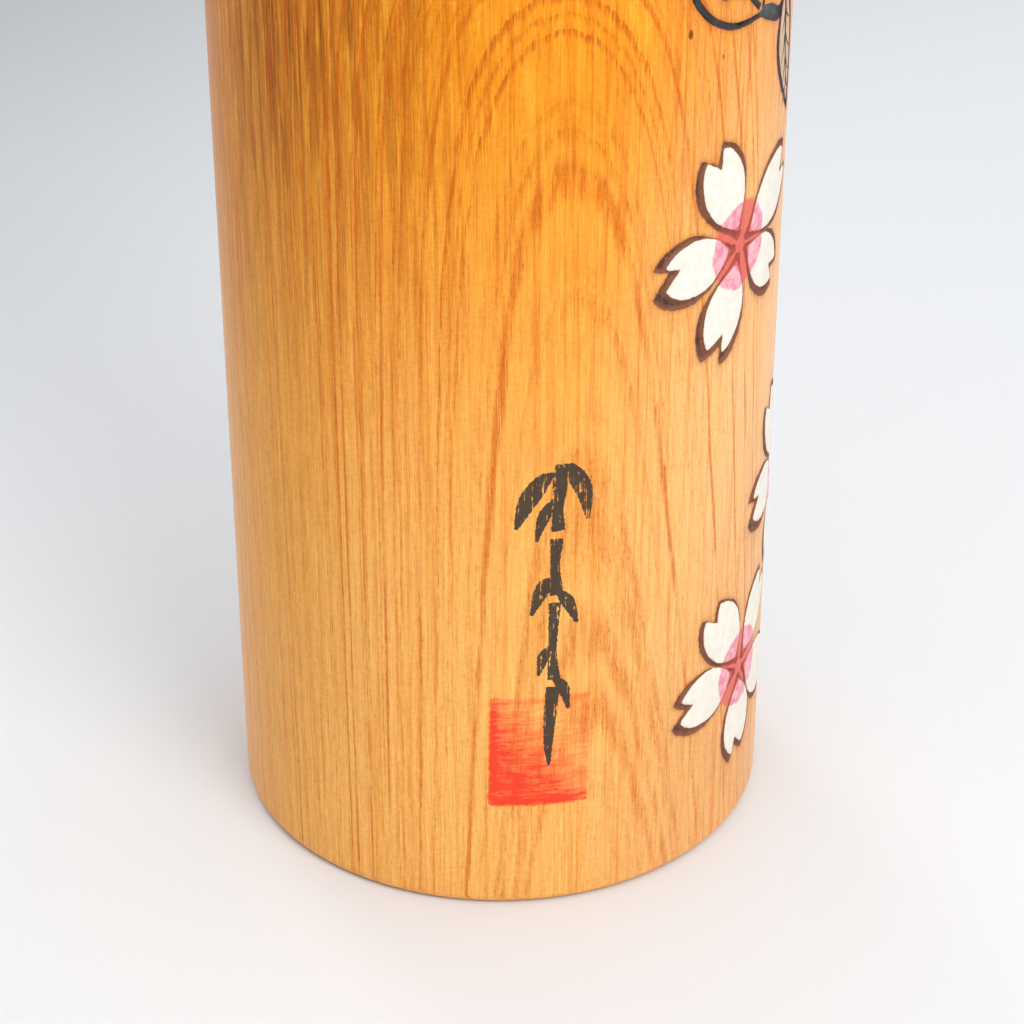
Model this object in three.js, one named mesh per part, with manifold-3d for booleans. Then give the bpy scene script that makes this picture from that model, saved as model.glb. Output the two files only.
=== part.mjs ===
// A turned wooden kokeshi doll: a straight cylindrical body, a round head with a bobbed hair relief,
// and the hardwood neck peg that the head turns on.
// Millimetres, +Z up. The origin is the centre of the base, and the face looks along -Y.

import * as THREE from 'three';
import * as BufferGeometryUtils from 'three/addons/utils/BufferGeometryUtils.js';
import Module from 'manifold-3d';

// Driving dimensions: body
const BODY_RADIUS = 40;
const BODY_STRAIGHT_TOP = 141;
const SHOULDER_TOP = 158;
const SHOULDER_DEPTH = 18;
const BASE_EDGE_RADIUS = 1.6;
const NECK_RADIUS = 15;
const NECK_HEIGHT = 4;
const NECK_FILLET = 2.5;

// Driving dimensions: head
const HEAD_RADIUS = 44;
const HEAD_WIDEST = 36;
const HEAD_HEIGHT = 76;
const HEAD_SEAT_RADIUS = 17;
const SEAT_GAP = 0.3;

// Driving dimensions: hair relief and the face window cut through it
const HAIR_THICKNESS = 1;
const HAIR_BOTTOM = 10;
const WINDOW_HALF_WIDTH = 29;
const WINDOW_TOP = 49;
const WINDOW_CORNER = 10;

// Driving dimensions: neck peg and its two holes
const PEG_RADIUS = 7;
const PEG_IN_BODY = 24;
const PEG_IN_HEAD = 22;
const PEG_CHAMFER = 1;
const TURNING_CLEARANCE = 0.25;
const GLUE_GAP = 0.2;
const END_ROOM = 1.5;

// Fineness of the turned surfaces
const TURN_SEGMENTS = 72;
const PEG_SEGMENTS = 36;
const EDGE_STEPS = 4;
const SHOULDER_STEPS = 8;
const HEAD_STEPS = 11;

// Derived heights
const NECK_TOP = SHOULDER_TOP + NECK_HEIGHT;
const SEAT_HEIGHT = NECK_TOP + SEAT_GAP;
const HEAD_CENTRE = SEAT_HEIGHT + HEAD_WIDEST;
const SOCKET_FLOOR = NECK_TOP - PEG_IN_BODY - END_ROOM;
const HEAD_BORE_END = SEAT_HEIGHT + PEG_IN_HEAD + END_ROOM;

const wasm = await Module();
wasm.setup();

// Points of an elliptical arc in the (radius, height) plane, without its first point.
function arcPoints(centreR, centreZ, radiusR, radiusZ, startAngle, endAngle, steps) {
  const points = [];
  for (let i = 1; i <= steps; i += 1) {
    const angle = startAngle + (endAngle - startAngle) * i / steps;
    points.push([centreR + radiusR * Math.cos(angle), centreZ + radiusZ * Math.sin(angle)]);
  }
  return points;
}

// A closed solid of revolution about Z from [radius, height] points, bottom to top along the outside.
function turned(points, segments) {
  const profile = points.map(([radius, height]) => new THREE.Vector2(radius, height));
  const geometry = new THREE.LatheGeometry(profile, segments);
  geometry.rotateX(Math.PI / 2);
  return geometry;
}

function toSolid(geometry) {
  const bare = geometry.index ? geometry.toNonIndexed() : geometry.clone();
  bare.deleteAttribute('normal');
  bare.deleteAttribute('uv');
  const merged = BufferGeometryUtils.mergeVertices(bare, 1e-4);
  const index = [];
  for (let i = 0; i < merged.index.count; i += 3) {
    const corners = [merged.index.getX(i), merged.index.getX(i + 1), merged.index.getX(i + 2)];
    if (new Set(corners).size === 3) index.push(...corners);
  }
  return new wasm.Manifold(new wasm.Mesh({
    numProp: 3,
    vertProperties: new Float32Array(merged.attributes.position.array),
    triVerts: new Uint32Array(index),
  }));
}

function toGeometry(solid) {
  const mesh = solid.getMesh();
  const geometry = new THREE.BufferGeometry();
  geometry.setAttribute('position', new THREE.BufferAttribute(mesh.vertProperties, 3));
  geometry.setIndex(new THREE.BufferAttribute(mesh.triVerts, 1));
  geometry.computeVertexNormals();
  return geometry;
}

// The body: straight sides, a softened base edge, a round shoulder, and a short neck with its socket.
function bodyGeometry() {
  const socketRadius = PEG_RADIUS + TURNING_CLEARANCE;
  const shoulderCentre = BODY_RADIUS - SHOULDER_DEPTH;
  const points = [
    [0, 0],
    [BODY_RADIUS - BASE_EDGE_RADIUS, 0],
    ...arcPoints(BODY_RADIUS - BASE_EDGE_RADIUS, BASE_EDGE_RADIUS, BASE_EDGE_RADIUS, BASE_EDGE_RADIUS,
      -Math.PI / 2, 0, EDGE_STEPS),
    [BODY_RADIUS, BODY_STRAIGHT_TOP],
    ...arcPoints(shoulderCentre, BODY_STRAIGHT_TOP, SHOULDER_DEPTH, SHOULDER_TOP - BODY_STRAIGHT_TOP,
      0, Math.PI / 2, SHOULDER_STEPS),
    [NECK_RADIUS + NECK_FILLET, SHOULDER_TOP],
    ...arcPoints(NECK_RADIUS + NECK_FILLET, SHOULDER_TOP + NECK_FILLET, NECK_FILLET, NECK_FILLET,
      -Math.PI / 2, -Math.PI, EDGE_STEPS),
    [NECK_RADIUS, NECK_TOP],
    [socketRadius, NECK_TOP],
    [socketRadius, SOCKET_FLOOR],
    [0, SOCKET_FLOOR],
  ];
  return turned(points, TURN_SEGMENTS);
}

// One egg-shaped outline for the skull and the hair. `inset` is how far it lies below the hair.
function headOutline(inset, bottomHeight) {
  const radius = HEAD_RADIUS - inset;
  const upper = HEAD_HEIGHT - HEAD_WIDEST - inset;
  const seatShare = HEAD_SEAT_RADIUS / HEAD_RADIUS;
  const lower = HEAD_WIDEST / Math.sqrt(1 - seatShare * seatShare);
  const start = Math.asin((bottomHeight - HEAD_WIDEST) / lower);
  const first = [radius * Math.cos(start), HEAD_CENTRE + lower * Math.sin(start)];
  const belowWidest = Math.max(3, Math.round(HEAD_STEPS * -start / (Math.PI / 2)));
  return [
    [0, first[1]],
    first,
    ...arcPoints(0, HEAD_CENTRE, radius, lower, start, 0, belowWidest),
    ...arcPoints(0, HEAD_CENTRE, radius, upper, 0, Math.PI / 2, HEAD_STEPS).slice(0, -1),
    [0, HEAD_CENTRE + upper],
  ];
}

// The opening in the hair that shows the face: a straight fringe with rounded corners, as a prism
// that runs from the middle of the head out past the face.
function faceWindowGeometry() {
  const low = SEAT_HEIGHT - HEAD_RADIUS;
  const top = SEAT_HEIGHT + WINDOW_TOP;
  const side = WINDOW_HALF_WIDTH;
  const shape = new THREE.Shape();
  shape.moveTo(-side, low);
  shape.lineTo(side, low);
  shape.lineTo(side, top - WINDOW_CORNER);
  shape.absarc(side - WINDOW_CORNER, top - WINDOW_CORNER, WINDOW_CORNER, 0, Math.PI / 2, false);
  shape.lineTo(-side + WINDOW_CORNER, top);
  shape.absarc(-side + WINDOW_CORNER, top - WINDOW_CORNER, WINDOW_CORNER, Math.PI / 2, Math.PI, false);
  shape.closePath();
  const geometry = new THREE.ExtrudeGeometry(shape, { depth: HEAD_RADIUS * 2, bevelEnabled: false, curveSegments: 6 });
  geometry.rotateX(Math.PI / 2);
  return geometry;
}

// The head: the skull, the hair standing 1 mm proud of it, and the blind bore for the peg.
function headGeometry() {
  const boreRadius = PEG_RADIUS + GLUE_GAP;
  const skull = toSolid(turned(headOutline(HAIR_THICKNESS, 0), TURN_SEGMENTS));
  const hairCap = toSolid(turned(headOutline(0, HAIR_BOTTOM), TURN_SEGMENTS));
  const faceWindow = toSolid(faceWindowGeometry());
  const bore = toSolid(turned([
    [0, SEAT_HEIGHT - END_ROOM],
    [boreRadius, SEAT_HEIGHT - END_ROOM],
    [boreRadius, HEAD_BORE_END],
    [0, HEAD_BORE_END],
  ], PEG_SEGMENTS));
  return toGeometry(skull.add(hairCap.subtract(faceWindow)).subtract(bore));
}

// The neck peg: a plain dowel with chamfered ends, centred on the joint between head and body.
function pegGeometry() {
  const low = NECK_TOP - PEG_IN_BODY;
  const high = SEAT_HEIGHT + PEG_IN_HEAD;
  return turned([
    [0, low],
    [PEG_RADIUS - PEG_CHAMFER, low],
    [PEG_RADIUS, low + PEG_CHAMFER],
    [PEG_RADIUS, high - PEG_CHAMFER],
    [PEG_RADIUS - PEG_CHAMFER, high],
    [0, high],
  ], PEG_SEGMENTS);
}

function piece(name, geometry, color, roughness) {
  const material = new THREE.MeshStandardMaterial({ color, roughness, metalness: 0 });
  const mesh = new THREE.Mesh(geometry, material);
  mesh.name = name;
  return mesh;
}

const doll = new THREE.Group();
doll.add(piece('body', bodyGeometry(), 0xe9a357, 0.4));

const turningHead = new THREE.Group();
turningHead.add(piece('neck_peg', pegGeometry(), 0xd9b98a, 0.6));
turningHead.add(piece('head', headGeometry(), 0xf0d3a4, 0.45));
doll.add(turningHead);

export default doll;
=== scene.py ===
"""The looks of a turned kokeshi doll: a ring-porous wood body with carved, burnt and painted cherry
blossoms, and a round head with lacquered hair and a plain painted face. Lengths in the geometry
code are millimetres; smooth_object() turns them into metres."""

import math

import bpy
import numpy as np
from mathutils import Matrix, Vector
from mathutils.geometry import delaunay_2d_cdt
from mathutils.kdtree import KDTree


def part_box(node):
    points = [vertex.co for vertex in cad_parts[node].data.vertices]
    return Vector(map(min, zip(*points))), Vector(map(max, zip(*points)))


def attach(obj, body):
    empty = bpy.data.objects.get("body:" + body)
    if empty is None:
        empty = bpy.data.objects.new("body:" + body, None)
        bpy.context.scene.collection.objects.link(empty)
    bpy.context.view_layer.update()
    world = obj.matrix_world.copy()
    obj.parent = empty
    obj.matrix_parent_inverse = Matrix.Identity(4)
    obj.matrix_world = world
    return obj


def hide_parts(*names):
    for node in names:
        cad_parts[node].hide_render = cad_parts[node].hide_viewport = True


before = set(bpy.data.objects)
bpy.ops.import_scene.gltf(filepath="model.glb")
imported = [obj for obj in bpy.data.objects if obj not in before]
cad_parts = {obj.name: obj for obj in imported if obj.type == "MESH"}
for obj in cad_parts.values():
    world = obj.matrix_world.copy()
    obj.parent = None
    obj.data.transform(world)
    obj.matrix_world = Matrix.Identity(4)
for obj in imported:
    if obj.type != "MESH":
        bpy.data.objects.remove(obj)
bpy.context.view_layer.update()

MM = 0.001
TURN = 2 * math.pi
SAME = 1e-3
FAR = 99.0
RANDOM = np.random.default_rng(11)

# ---------------------------------------------------------------- sizes, in millimetres
BODY_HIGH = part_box("body")[1] / MM
HEAD_LOW, HEAD_HIGH = (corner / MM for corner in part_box("head"))
PEG_LOW, PEG_HIGH = (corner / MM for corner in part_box("neck_peg"))
BODY_RADIUS = BODY_HIGH.x
NECK_TOP = BODY_HIGH.z
SEAT = HEAD_LOW.z
CROWN = HEAD_HIGH.z
HAIR_RADIUS = HEAD_HIGH.x
PEG_RADIUS = PEG_HIGH.x

BASE_EDGE = 1.6
STRAIGHT_TOP = 141.0
SHOULDER_TOP = NECK_TOP - 4
SHOULDER_DEPTH = 18.0
NECK_RADIUS = 15.0
NECK_FILLET = 2.5
SOFT_EDGE = 0.5
SOCKET_RADIUS = PEG_RADIUS + 0.25
SOCKET_FLOOR = PEG_LOW.z - 1.5
SEAM_AZIMUTH = 120

HAIR_THICKNESS = 1.0
HAIR_EDGE = 0.9
COMB_LINES = 52
COMB_DEPTH = 0.13
HEAD_WIDEST = 36.0
SEAT_RADIUS = 17.0
HAIR_BOTTOM = SEAT + 10
WINDOW_HALF_WIDTH = 29.0
WINDOW_TOP = SEAT + 49
WINDOW_CORNER = 10.0
BORE_RADIUS = PEG_RADIUS + 0.2
BORE_END = PEG_HIGH.z + 1.5
CHEEK = (17.5, SEAT + 24)
CHEEK_RADIUS = 9.0
EYE = (13.0, SEAT + 33.5)

# The camera stands behind the doll, a little to its right side, and looks down at the lower body.
CAMERA_AZIMUTH = 169.2
CAMERA_DISTANCE = 366.1
CAMERA_HEIGHT = 255.6
CAMERA_PITCH = 30.1
CAMERA_YAW = -0.28
CAMERA_LENS = 98.4

# The studio is a white bowl round the doll, open above.
STAGE_RADIUS = 2200.0
STAGE_BEND = 900.0
STAGE_HEIGHT = 1500.0
STAGE_COLUMNS = 96
FLOOR_GAP = 0.02
# The floor's colour darkens along this direction: painted shade on the far side, away from the key light.
PAINTED_SHADE_SIDE = (0.56, -0.83, 0.0)

# Carving and paint
GROOVE_DEPTH = 0.5
GROOVE_REACH = 0.28
LINE_RISE = 0.01
LINE_SINK = 0.02
PAINT_EDGE = 0.03
PAINT_RISE = 0.16
PAINT_REACH = 0.45
PAINT_SINK = 0.01
WASH_EDGE = 0.012
WASH_RISE = 0.02
WASH_REACH = 0.2
LAYER_SINK = 0.05
LAYER_REACH = 0.3
UNDER_PAINT = 0.02
PINK_RADIUS = 6.4
PETAL_WIDTH = 0.61
PETAL_NOTCH = 0.15
PEN_HEAVY = 205.0
PEN_TIP = 1.2
PEN_SWELL = 1.1
PEN_SIDE = 1.15
PEN_LEAN = 0.32
LEAF_LINE = 1.1
SCORCH_REACH = 0.45

# Face paint and hair: how far they reach above the skull and into it
FACE_EDGE = 0.04
FACE_RISE = 0.06
FACE_REACH = 0.25
FACE_SINK = 0.05
HAIR_SINK = 0.4

# Grids: their coarse cells, how finely those are split near outlines, and how far the grid's points
# keep from an outline, in millimetres on the face and in steps of the grid elsewhere
BODY_CELL = (2.45, 2.45)
BODY_SPLIT = 7
HEAD_COLUMNS = 288
HAIR_CELL = (0.9, 1.2)
HAIR_SPLIT = 2
FACE_CELL = 0.3
FACE_GAP = 0.12
GRID_GAP = 0.36
WELD = 1e-5

# Steps between the points of outlines, and angles past which an edge is sharp
CARVED_STEP = 0.27
VEIN_STEP = 0.25
MARK_STEP = 0.22
FACE_STEP = 0.2
TURNED_CREASE = 35
LAYER_CREASE = 50
HAIR_CREASE = 60


# ---------------------------------------------------------------- turned surfaces
def turned(angles, radius, height):
    """Points at these angles round the doll's axis; angle 0 is the side of its face."""
    angles = np.asarray(angles)
    return np.column_stack([radius * np.sin(angles), -radius * np.cos(angles), height + 0 * angles])


def line(start, end, step=0.5):
    """Evenly spaced (radius, height) points from start to end, without the last."""
    count = max(1, round(math.dist(start, end) / step))
    start, end = np.array(start), np.array(end)
    return [tuple(start + (end - start) * i / count) for i in range(count)]


def arc(centre, radii, start, end, count):
    """(radius, height) points of an elliptical arc; angles in degrees; without the last point."""
    angles = np.radians(start + (end - start) * np.arange(count) / count)
    return [(centre[0] + radii[0] * math.cos(a), centre[1] + radii[1] * math.sin(a)) for a in angles]


class Skin:
    """A turned surface, unrolled: u runs round it and v up its outline, both in millimetres."""

    def __init__(self, outline, v_start, reference):
        outline = np.array(outline, float)
        steps = np.hypot(*np.diff(outline, axis=0).T)
        self.v = v_start + np.concatenate([[0], np.cumsum(steps)])
        self.radius, self.height = outline.T
        slope = np.gradient(outline, self.v, axis=0)
        slope /= np.hypot(*slope.T)[:, None]
        self.out_r, self.out_z = slope[:, 1], -slope[:, 0]
        self.reference = reference

    def read(self, v):
        """Radius, height and the two parts of the outward direction at v."""
        return [np.interp(v, self.v, row) for row in (self.radius, self.height, self.out_r, self.out_z)]

    def place(self, uv, lift=0.0):
        radius, height, out_r, out_z = self.read(uv[:, 1])
        return turned(uv[:, 0] / self.reference, radius + lift * out_r, height + lift * out_z)

    def normals(self, uv):
        out_r, out_z = self.read(uv[:, 1])[2:]
        return turned(uv[:, 0] / self.reference, out_r, out_z)

    def from_front(self, points):
        """(u, v) of points given as (x, z) in a front view of the face side."""
        x, z = np.array(points, float).T
        v = np.interp(z, self.height, self.v)
        radius = np.interp(v, self.v, self.radius)
        return np.column_stack([np.arcsin(x / radius) * self.reference, v])


# ---------------------------------------------------------------- outlines on the unrolled surface
def bezier(corners, count):
    """Points along a cubic Bezier curve, without the last."""
    t = (np.arange(count) / count)[:, None]
    a, b, c, d = (np.array(corner, float) for corner in corners)
    return (1 - t) ** 3 * a + 3 * (1 - t) ** 2 * t * b + 3 * (1 - t) * t ** 2 * c + t ** 3 * d


def respace(points, step, closed=True):
    """The line with its points about `step` apart. A closed one doesn't repeat its first point."""
    points = np.array(points, float)
    route = np.vstack([points, points[:1]]) if closed else points
    lengths = np.concatenate([[0], np.cumsum(np.hypot(*np.diff(route, axis=0).T))])
    count = max(6, round(lengths[-1] / step))
    reached = np.arange(count if closed else count + 1) * lengths[-1] / count
    return np.column_stack([np.interp(reached, lengths, row) for row in route.T])


def placed(points, origin, degrees):
    """Points turned by `degrees` and moved to origin."""
    c, s = math.cos(math.radians(degrees)), math.sin(math.radians(degrees))
    return np.array(points, float) @ np.array([[c, s], [-s, c]]) + np.array(origin, float)


def spline(points, count):
    """A smooth curve (Catmull-Rom) through given points, each of any number of values."""
    points = np.array(points, float)
    ends = np.vstack([2 * points[0] - points[1], points, 2 * points[-1] - points[-2]])
    made = []
    for i in range(1, len(ends) - 2):
        p0, p1, p2, p3 = ends[i - 1:i + 3]
        for t in np.arange(count) / count:
            made.append(0.5 * (2 * p1 + (p2 - p0) * t + (2 * p0 - 5 * p1 + 4 * p2 - p3) * t ** 2
                               + (3 * p1 - p0 - 3 * p2 + p3) * t ** 3))
    made.append(ends[-2])
    return np.array(made)


def wobble(points, size, waves, grit=0.0):
    """The outline with a slow, hand-made unevenness of `size` along its normals, and a finer grit."""
    count = len(points)
    along = np.arange(count) / count * TURN
    push = sum(np.sin(along * k + RANDOM.uniform(0, TURN)) / k ** 0.5 for k in waves)
    push *= size / len(waves) ** 0.5
    push += RANDOM.normal(0, grit, count)
    tangent = np.roll(points, -1, axis=0) - np.roll(points, 1, axis=0)
    tangent /= np.hypot(*tangent.T)[:, None] + 1e-9
    return points + np.column_stack([tangent[:, 1], -tangent[:, 0]]) * push[:, None]


def brush_stroke(points, step, rough=0.0):
    """The closed outline of a stroke through (x, y, width) points."""
    middle = spline(points, 12)
    way = np.gradient(middle[:, :2], axis=0)
    way /= np.hypot(*way.T)[:, None] + 1e-9
    side = np.column_stack([-way[:, 1], way[:, 0]]) * middle[:, 2:3] / 2
    outline = respace(np.vstack([middle[:, :2] + side, (middle[:, :2] - side)[::-1]]), step)
    if rough:
        outline += RANDOM.normal(0, rough, outline.shape)
    return outline


class Shape:
    """One closed outline on the surface. Where shapes overlap, the highest rank shows."""

    def __init__(self, kind, rank, outline):
        following = np.roll(outline, -1, axis=0)
        area = np.sum(outline[:, 0] * following[:, 1] - outline[:, 1] * following[:, 0])
        self.kind = kind
        self.rank = rank
        self.outline = outline if area > 0 else outline[::-1]


def petal_outline(length, width, notch, base, start, slant):
    """A cherry petal along +x: narrow at the flower's centre, widest past the middle, notched at its tip."""
    half = width / 2
    broad = 0.64 * length
    cleft = (length - notch, slant * half)

    def edge(side):
        lobe = (length, side * 0.42 * half)
        flank = [(start, side * base), (0.24 * length, side * 0.28 * half),
                 (0.38 * length, side * 0.97 * half), (broad, side * half)]
        shoulder = [(broad, side * half), (0.83 * length, side * half),
                    (0.95 * length, side * 0.70 * half), lobe]
        dip = [lobe, (0.985 * length, side * 0.30 * half),
               (cleft[0] + 0.2 * notch, cleft[1] + side * 0.1 * half), cleft]
        return np.vstack([bezier(flank, 24), bezier(shoulder, 16), bezier(dip, 6)])

    return np.vstack([edge(1), [cleft], edge(-1)[::-1]])


def petal(centre, degrees, length, rank, pen=1.0):
    """One petal: the burnt line round it, bare wood at its foot, and the paint inside.

    The line is heaviest where it faces PEN_HEAVY, as the burning pen was held; `pen` scales it.
    """
    along = math.cos(math.radians(PEN_HEAVY - degrees))
    across = math.cos(math.radians(PEN_HEAVY - degrees - 90))
    tip = pen * PEN_TIP + PEN_SWELL * max(0.0, along)
    flank = pen * PEN_SIDE
    width = PETAL_WIDTH * length
    skew = RANDOM.uniform(-0.16, 0.16)
    slant = RANDOM.uniform(-0.22, 0.22)

    def outline(shorter, narrower, base, start, size, grit):
        made = petal_outline(length - shorter, width - 2 * narrower, PETAL_NOTCH * length, base, start, slant)
        made[:, 0] += skew * made[:, 1] * (made[:, 0] / length) ** 2
        if narrower:
            made[:, 1] -= PEN_LEAN * across
        made = respace(placed(made, centre, degrees), CARVED_STEP)
        return wobble(made, size, (3, 5, 8, 13, 21, 34), grit)

    return [
        Shape("burnt", rank, outline(0, 0, 0.5, 1.2, 0.20, 0.04)),
        Shape("wood", rank + 1, outline(tip, flank, 0.12, 0.14 * length, 0.10, 0.02)),
        Shape("white", rank + 2, outline(tip - 0.05, flank - 0.05, 0.35, 0.18 * length, 0.14, 0.03)),
    ]


def leaf(origin, degrees, length, width, rank, bend, fill):
    """A pointed leaf: a dark outline, bare or washed wood inside, and carved veins."""
    t = np.arange(41) / 40

    def spread(share):
        return width / 2 * np.sin(math.pi * share ** 0.82) ** 0.9

    def outline(inset, size, grit):
        half = np.maximum(spread(t) - inset, 0)
        keep = (half > 0) | (inset == 0)
        middle = bend * np.sin(math.pi * t)
        ring = np.vstack([np.column_stack([t * length, middle + half])[keep][:-1],
                          np.column_stack([t * length, middle - half])[keep][::-1][:-1]])
        return wobble(respace(placed(ring, origin, degrees), CARVED_STEP), size, (4, 7, 11), grit)

    def rib(share):
        return length * share, bend * math.sin(math.pi * share)

    shapes = [
        Shape("black", rank, outline(0, 0.14, 0.03)),
        Shape(fill, rank + 1, outline(LEAF_LINE, 0.09, 0.02)),
    ]
    strokes = [[(*rib(share), thick) for share, thick in ((0.05, 1.0), (0.5, 0.6), (0.9, 0.3))]]
    for share in (0.18, 0.36, 0.54, 0.7):
        start = rib(share)
        reach = spread(share) * 0.72
        for side in (-1, 1):
            tip = (start[0] + reach * 1.5, start[1] + side * reach)
            halfway = ((start[0] + tip[0]) / 2 + 0.3, (start[1] + tip[1]) / 2 - side * 0.3)
            strokes.append([(*start, 0.5), (*halfway, 0.42), (*tip, 0.2)])
    for stroke in strokes:
        points = placed([p[:2] for p in stroke], origin, degrees)
        widths = [p[2] for p in stroke]
        shapes.append(Shape("black", rank + 2, brush_stroke(np.column_stack([points, widths]), VEIN_STEP)))
    return shapes


def at(azimuth, height):
    """(u, v) of a point on the body's straight side."""
    return math.radians(azimuth) * BODY_RADIUS, height


def even(turn):
    """Directions of five evenly spread petals."""
    return [18 + 72 * i + turn for i in range(5)]


# Blossoms: azimuth and height of the centre, each petal's direction and length, and the line's weight.
# The first three are the ones on the doll's back right; the others carry the spray round to the front.
BLOSSOMS = [
    (222.9, 98.5, (24, 114, 183.5, 250, 324), (18, 16.9, 16.5, 16.8, 15.4), 0.9),
    (230.8, 28, (49, 122.5, 183.5, 271, 330), (15.5, 16.5, 16.3, 16.1, 17), 0.6),
    (255.9, 54, (35, 121, 183, 255, 322), (17, 17.5, 16.5, 16, 17), 0.85),
    (279, 104, even(8), (16.5, 17, 16, 16.5, 17), 0.85),
    (283, 21.5, even(-14), (16, 16.5, 15.5, 16, 16.5), 0.85),
    (303, 66, even(30), (19, 18.5, 19, 18, 18.5), 0.85),
    (324, 108, even(-6), (16.5, 16, 16.5, 17, 16), 0.85),
    (339, 35, even(16), (20.5, 20, 20.5, 21, 20), 0.85),
    (363.5, 79, even(-2), (22, 21.5, 22, 21, 22), 0.85),
    (399, 110, even(22), (16, 16.5, 16, 15.5, 16), 0.85),
    (392, 41, even(-20), (17, 17.5, 17, 17, 17.5), 0.85),
    (416, 76, even(5), (16, 15.5, 16, 16.5, 16), 0.85),
    (415, 20.5, even(-9), (14.5, 15, 14.5, 15, 14.5), 0.85),
]

# Leaves: azimuth and height of the stalk end, direction, length, width, sideways bend, what fills them.
LEAVES = [
    (227.9, 130.2, 135, 25, 13.2, 0.8, "wood"),
    (240, 132, 284, 21, 8, -1.2, "leaf"),
    (262, 135.8, 250, 16, 7, 0.8, "leaf"),
    (284, 133.5, 212, 15, 7, 0.7, "leaf"),
    (300, 125.5, 62, 15, 7.5, -0.8, "wood"),
    (310.5, 98, 192, 16, 7, 0.7, "leaf"),
    (308.5, 88, 340, 15, 7, 0.8, "leaf"),
    (338, 87, 118, 15, 7, 0.6, "wood"),
    (321, 57, 212, 17, 7.5, -0.8, "leaf"),
    (327, 50, 18, 17, 7.5, 0.8, "leaf"),
    (349, 25, 322, 17, 7.5, 0.7, "leaf"),
    (295, 31, 40, 14, 6.5, 0.6, "wood"),
    (405, 121.5, 152, 15, 7, 0.7, "leaf"),
    (415, 131, 325, 14, 6.5, 0.7, "wood"),
    (410, 94, 18, 14, 6.5, 0.6, "leaf"),
    (400, 63, 192, 17, 7, 0.8, "leaf"),
    (402, 60, 322, 16, 7, 0.8, "leaf"),
    (384, 51, 150, 17, 7, 0.6, "wood"),
]

# Twigs: (azimuth, height, width) points, drawn under the blossoms and leaves.
TWIGS = [
    [(225, 129.9, 0.7), (227.4, 130.2, 1.5), (231, 129.4, 2.3), (236.5, 128.4, 2), (243, 131.6, 2.3),
     (254, 135.2, 2.7), (270, 136.6, 3.1), (287, 133, 3.1), (300, 125, 2.7), (308.5, 112, 2.4),
     (311, 98, 2.1), (308, 86, 1.8), (303, 72, 1.3)],
    [(287, 133, 2), (302, 129, 2), (316, 121, 1.7), (324, 110, 1.2)],
    [(270, 136, 1.6), (276, 124, 1.6), (279, 108, 1.1)],
    [(311, 98, 1.5), (324, 91.5, 1.6), (340, 86, 1.4), (356, 80, 1)],
    [(305, 76, 1.5), (314, 62, 1.6), (327, 50, 1.4), (337, 38, 1)],
    [(432, 158, 2.2), (425, 144, 2.8), (414, 131, 2.6), (403, 120, 2.1), (399, 110, 1.4)],
    [(407, 123, 1.8), (412, 108, 1.9), (410, 94, 1.7), (413, 80, 1.3)],
    [(411, 84, 1.5), (405, 70, 1.6), (399, 58, 1.4), (393, 44, 1)],
]

# Loose petals drifting down: azimuth, height, direction, length.
DRIFTING = [(373, 11.5, 35, 10), (314, 12, 160, 10), (428, 45, 130, 9.5), (262, 12, 20, 9.5)]

# Small dark knots and specks: azimuth, height, width, how tall.
SPECKS = [(206.3, 131.1, 0.55, 0.95), (215, 126.7, 0.30, 0.55)]

# The brushed mark on the back: a reed sprig of stems and leaf dabs, as (side, height, width) points
# from the mark's foot. It is a plain ornament that spells nothing.
MARK_AZIMUTH = 179.6
MARK_FOOT = 24.5
MARK_WEIGHT = 1.35
MARK_ROUGH = 0.05
MARK_STROKES = [
    [(0.5, 49, 0.5), (0.9, 46, 1.5), (0.6, 42, 1.1), (0.7, 38.6, 1.5)],
    [(0.5, 37.4, 1.4), (0.3, 33, 1), (0.5, 28.4, 1.5)],
    [(0.3, 27.2, 1.3), (0, 20, 0.9), (0.2, 14.6, 1.4)],
    [(0.1, 13.4, 1.5), (-0.3, 8, 1.3), (-0.5, 3.5, 0.9), (-0.4, 0, 0.3)],
    [(0.2, 47.6, 0.4), (-1.6, 46.4, 1.7), (-3.6, 43.4, 1.9), (-5.2, 39.2, 0.4)],
    [(0.8, 48.6, 0.4), (2.4, 47.8, 1.6), (4.2, 44.6, 1.8), (4.9, 40, 0.4)],
    [(0, 43.6, 0.4), (-1.3, 41, 1.3), (-2.4, 37.2, 0.3)],
    [(0.5, 29, 0.4), (2, 27.4, 1.4), (3.5, 23.6, 0.4)],
    [(0.1, 31.4, 0.4), (-1.4, 29.6, 1.6), (-3, 25.4, 0.4)],
    [(0, 15.2, 0.4), (1.5, 13.2, 1.3), (2.4, 9.4, 0.3)],
    [(0, 20.4, 0.3), (-1.2, 18.6, 1.2), (-2, 15.4, 0.3)],
]

# The stamped square beside it, plain and worn.
STAMP_AZIMUTH = 177.1
STAMP_HEIGHT = 27.0
STAMP_WIDTH = 14.6
STAMP_TALL = 18.6
STAMP_LEAN = -1.2
STAMP_REACH = 13.0


# First ranks of what is drawn, and the step from one leaf, blossom or band to the next.
RANKS = {"twig": 10, "leaf": 100, "collar": 300, "blossom": 400, "drifting": 600, "mark": 900}
RANK_STEP = 5


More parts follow.
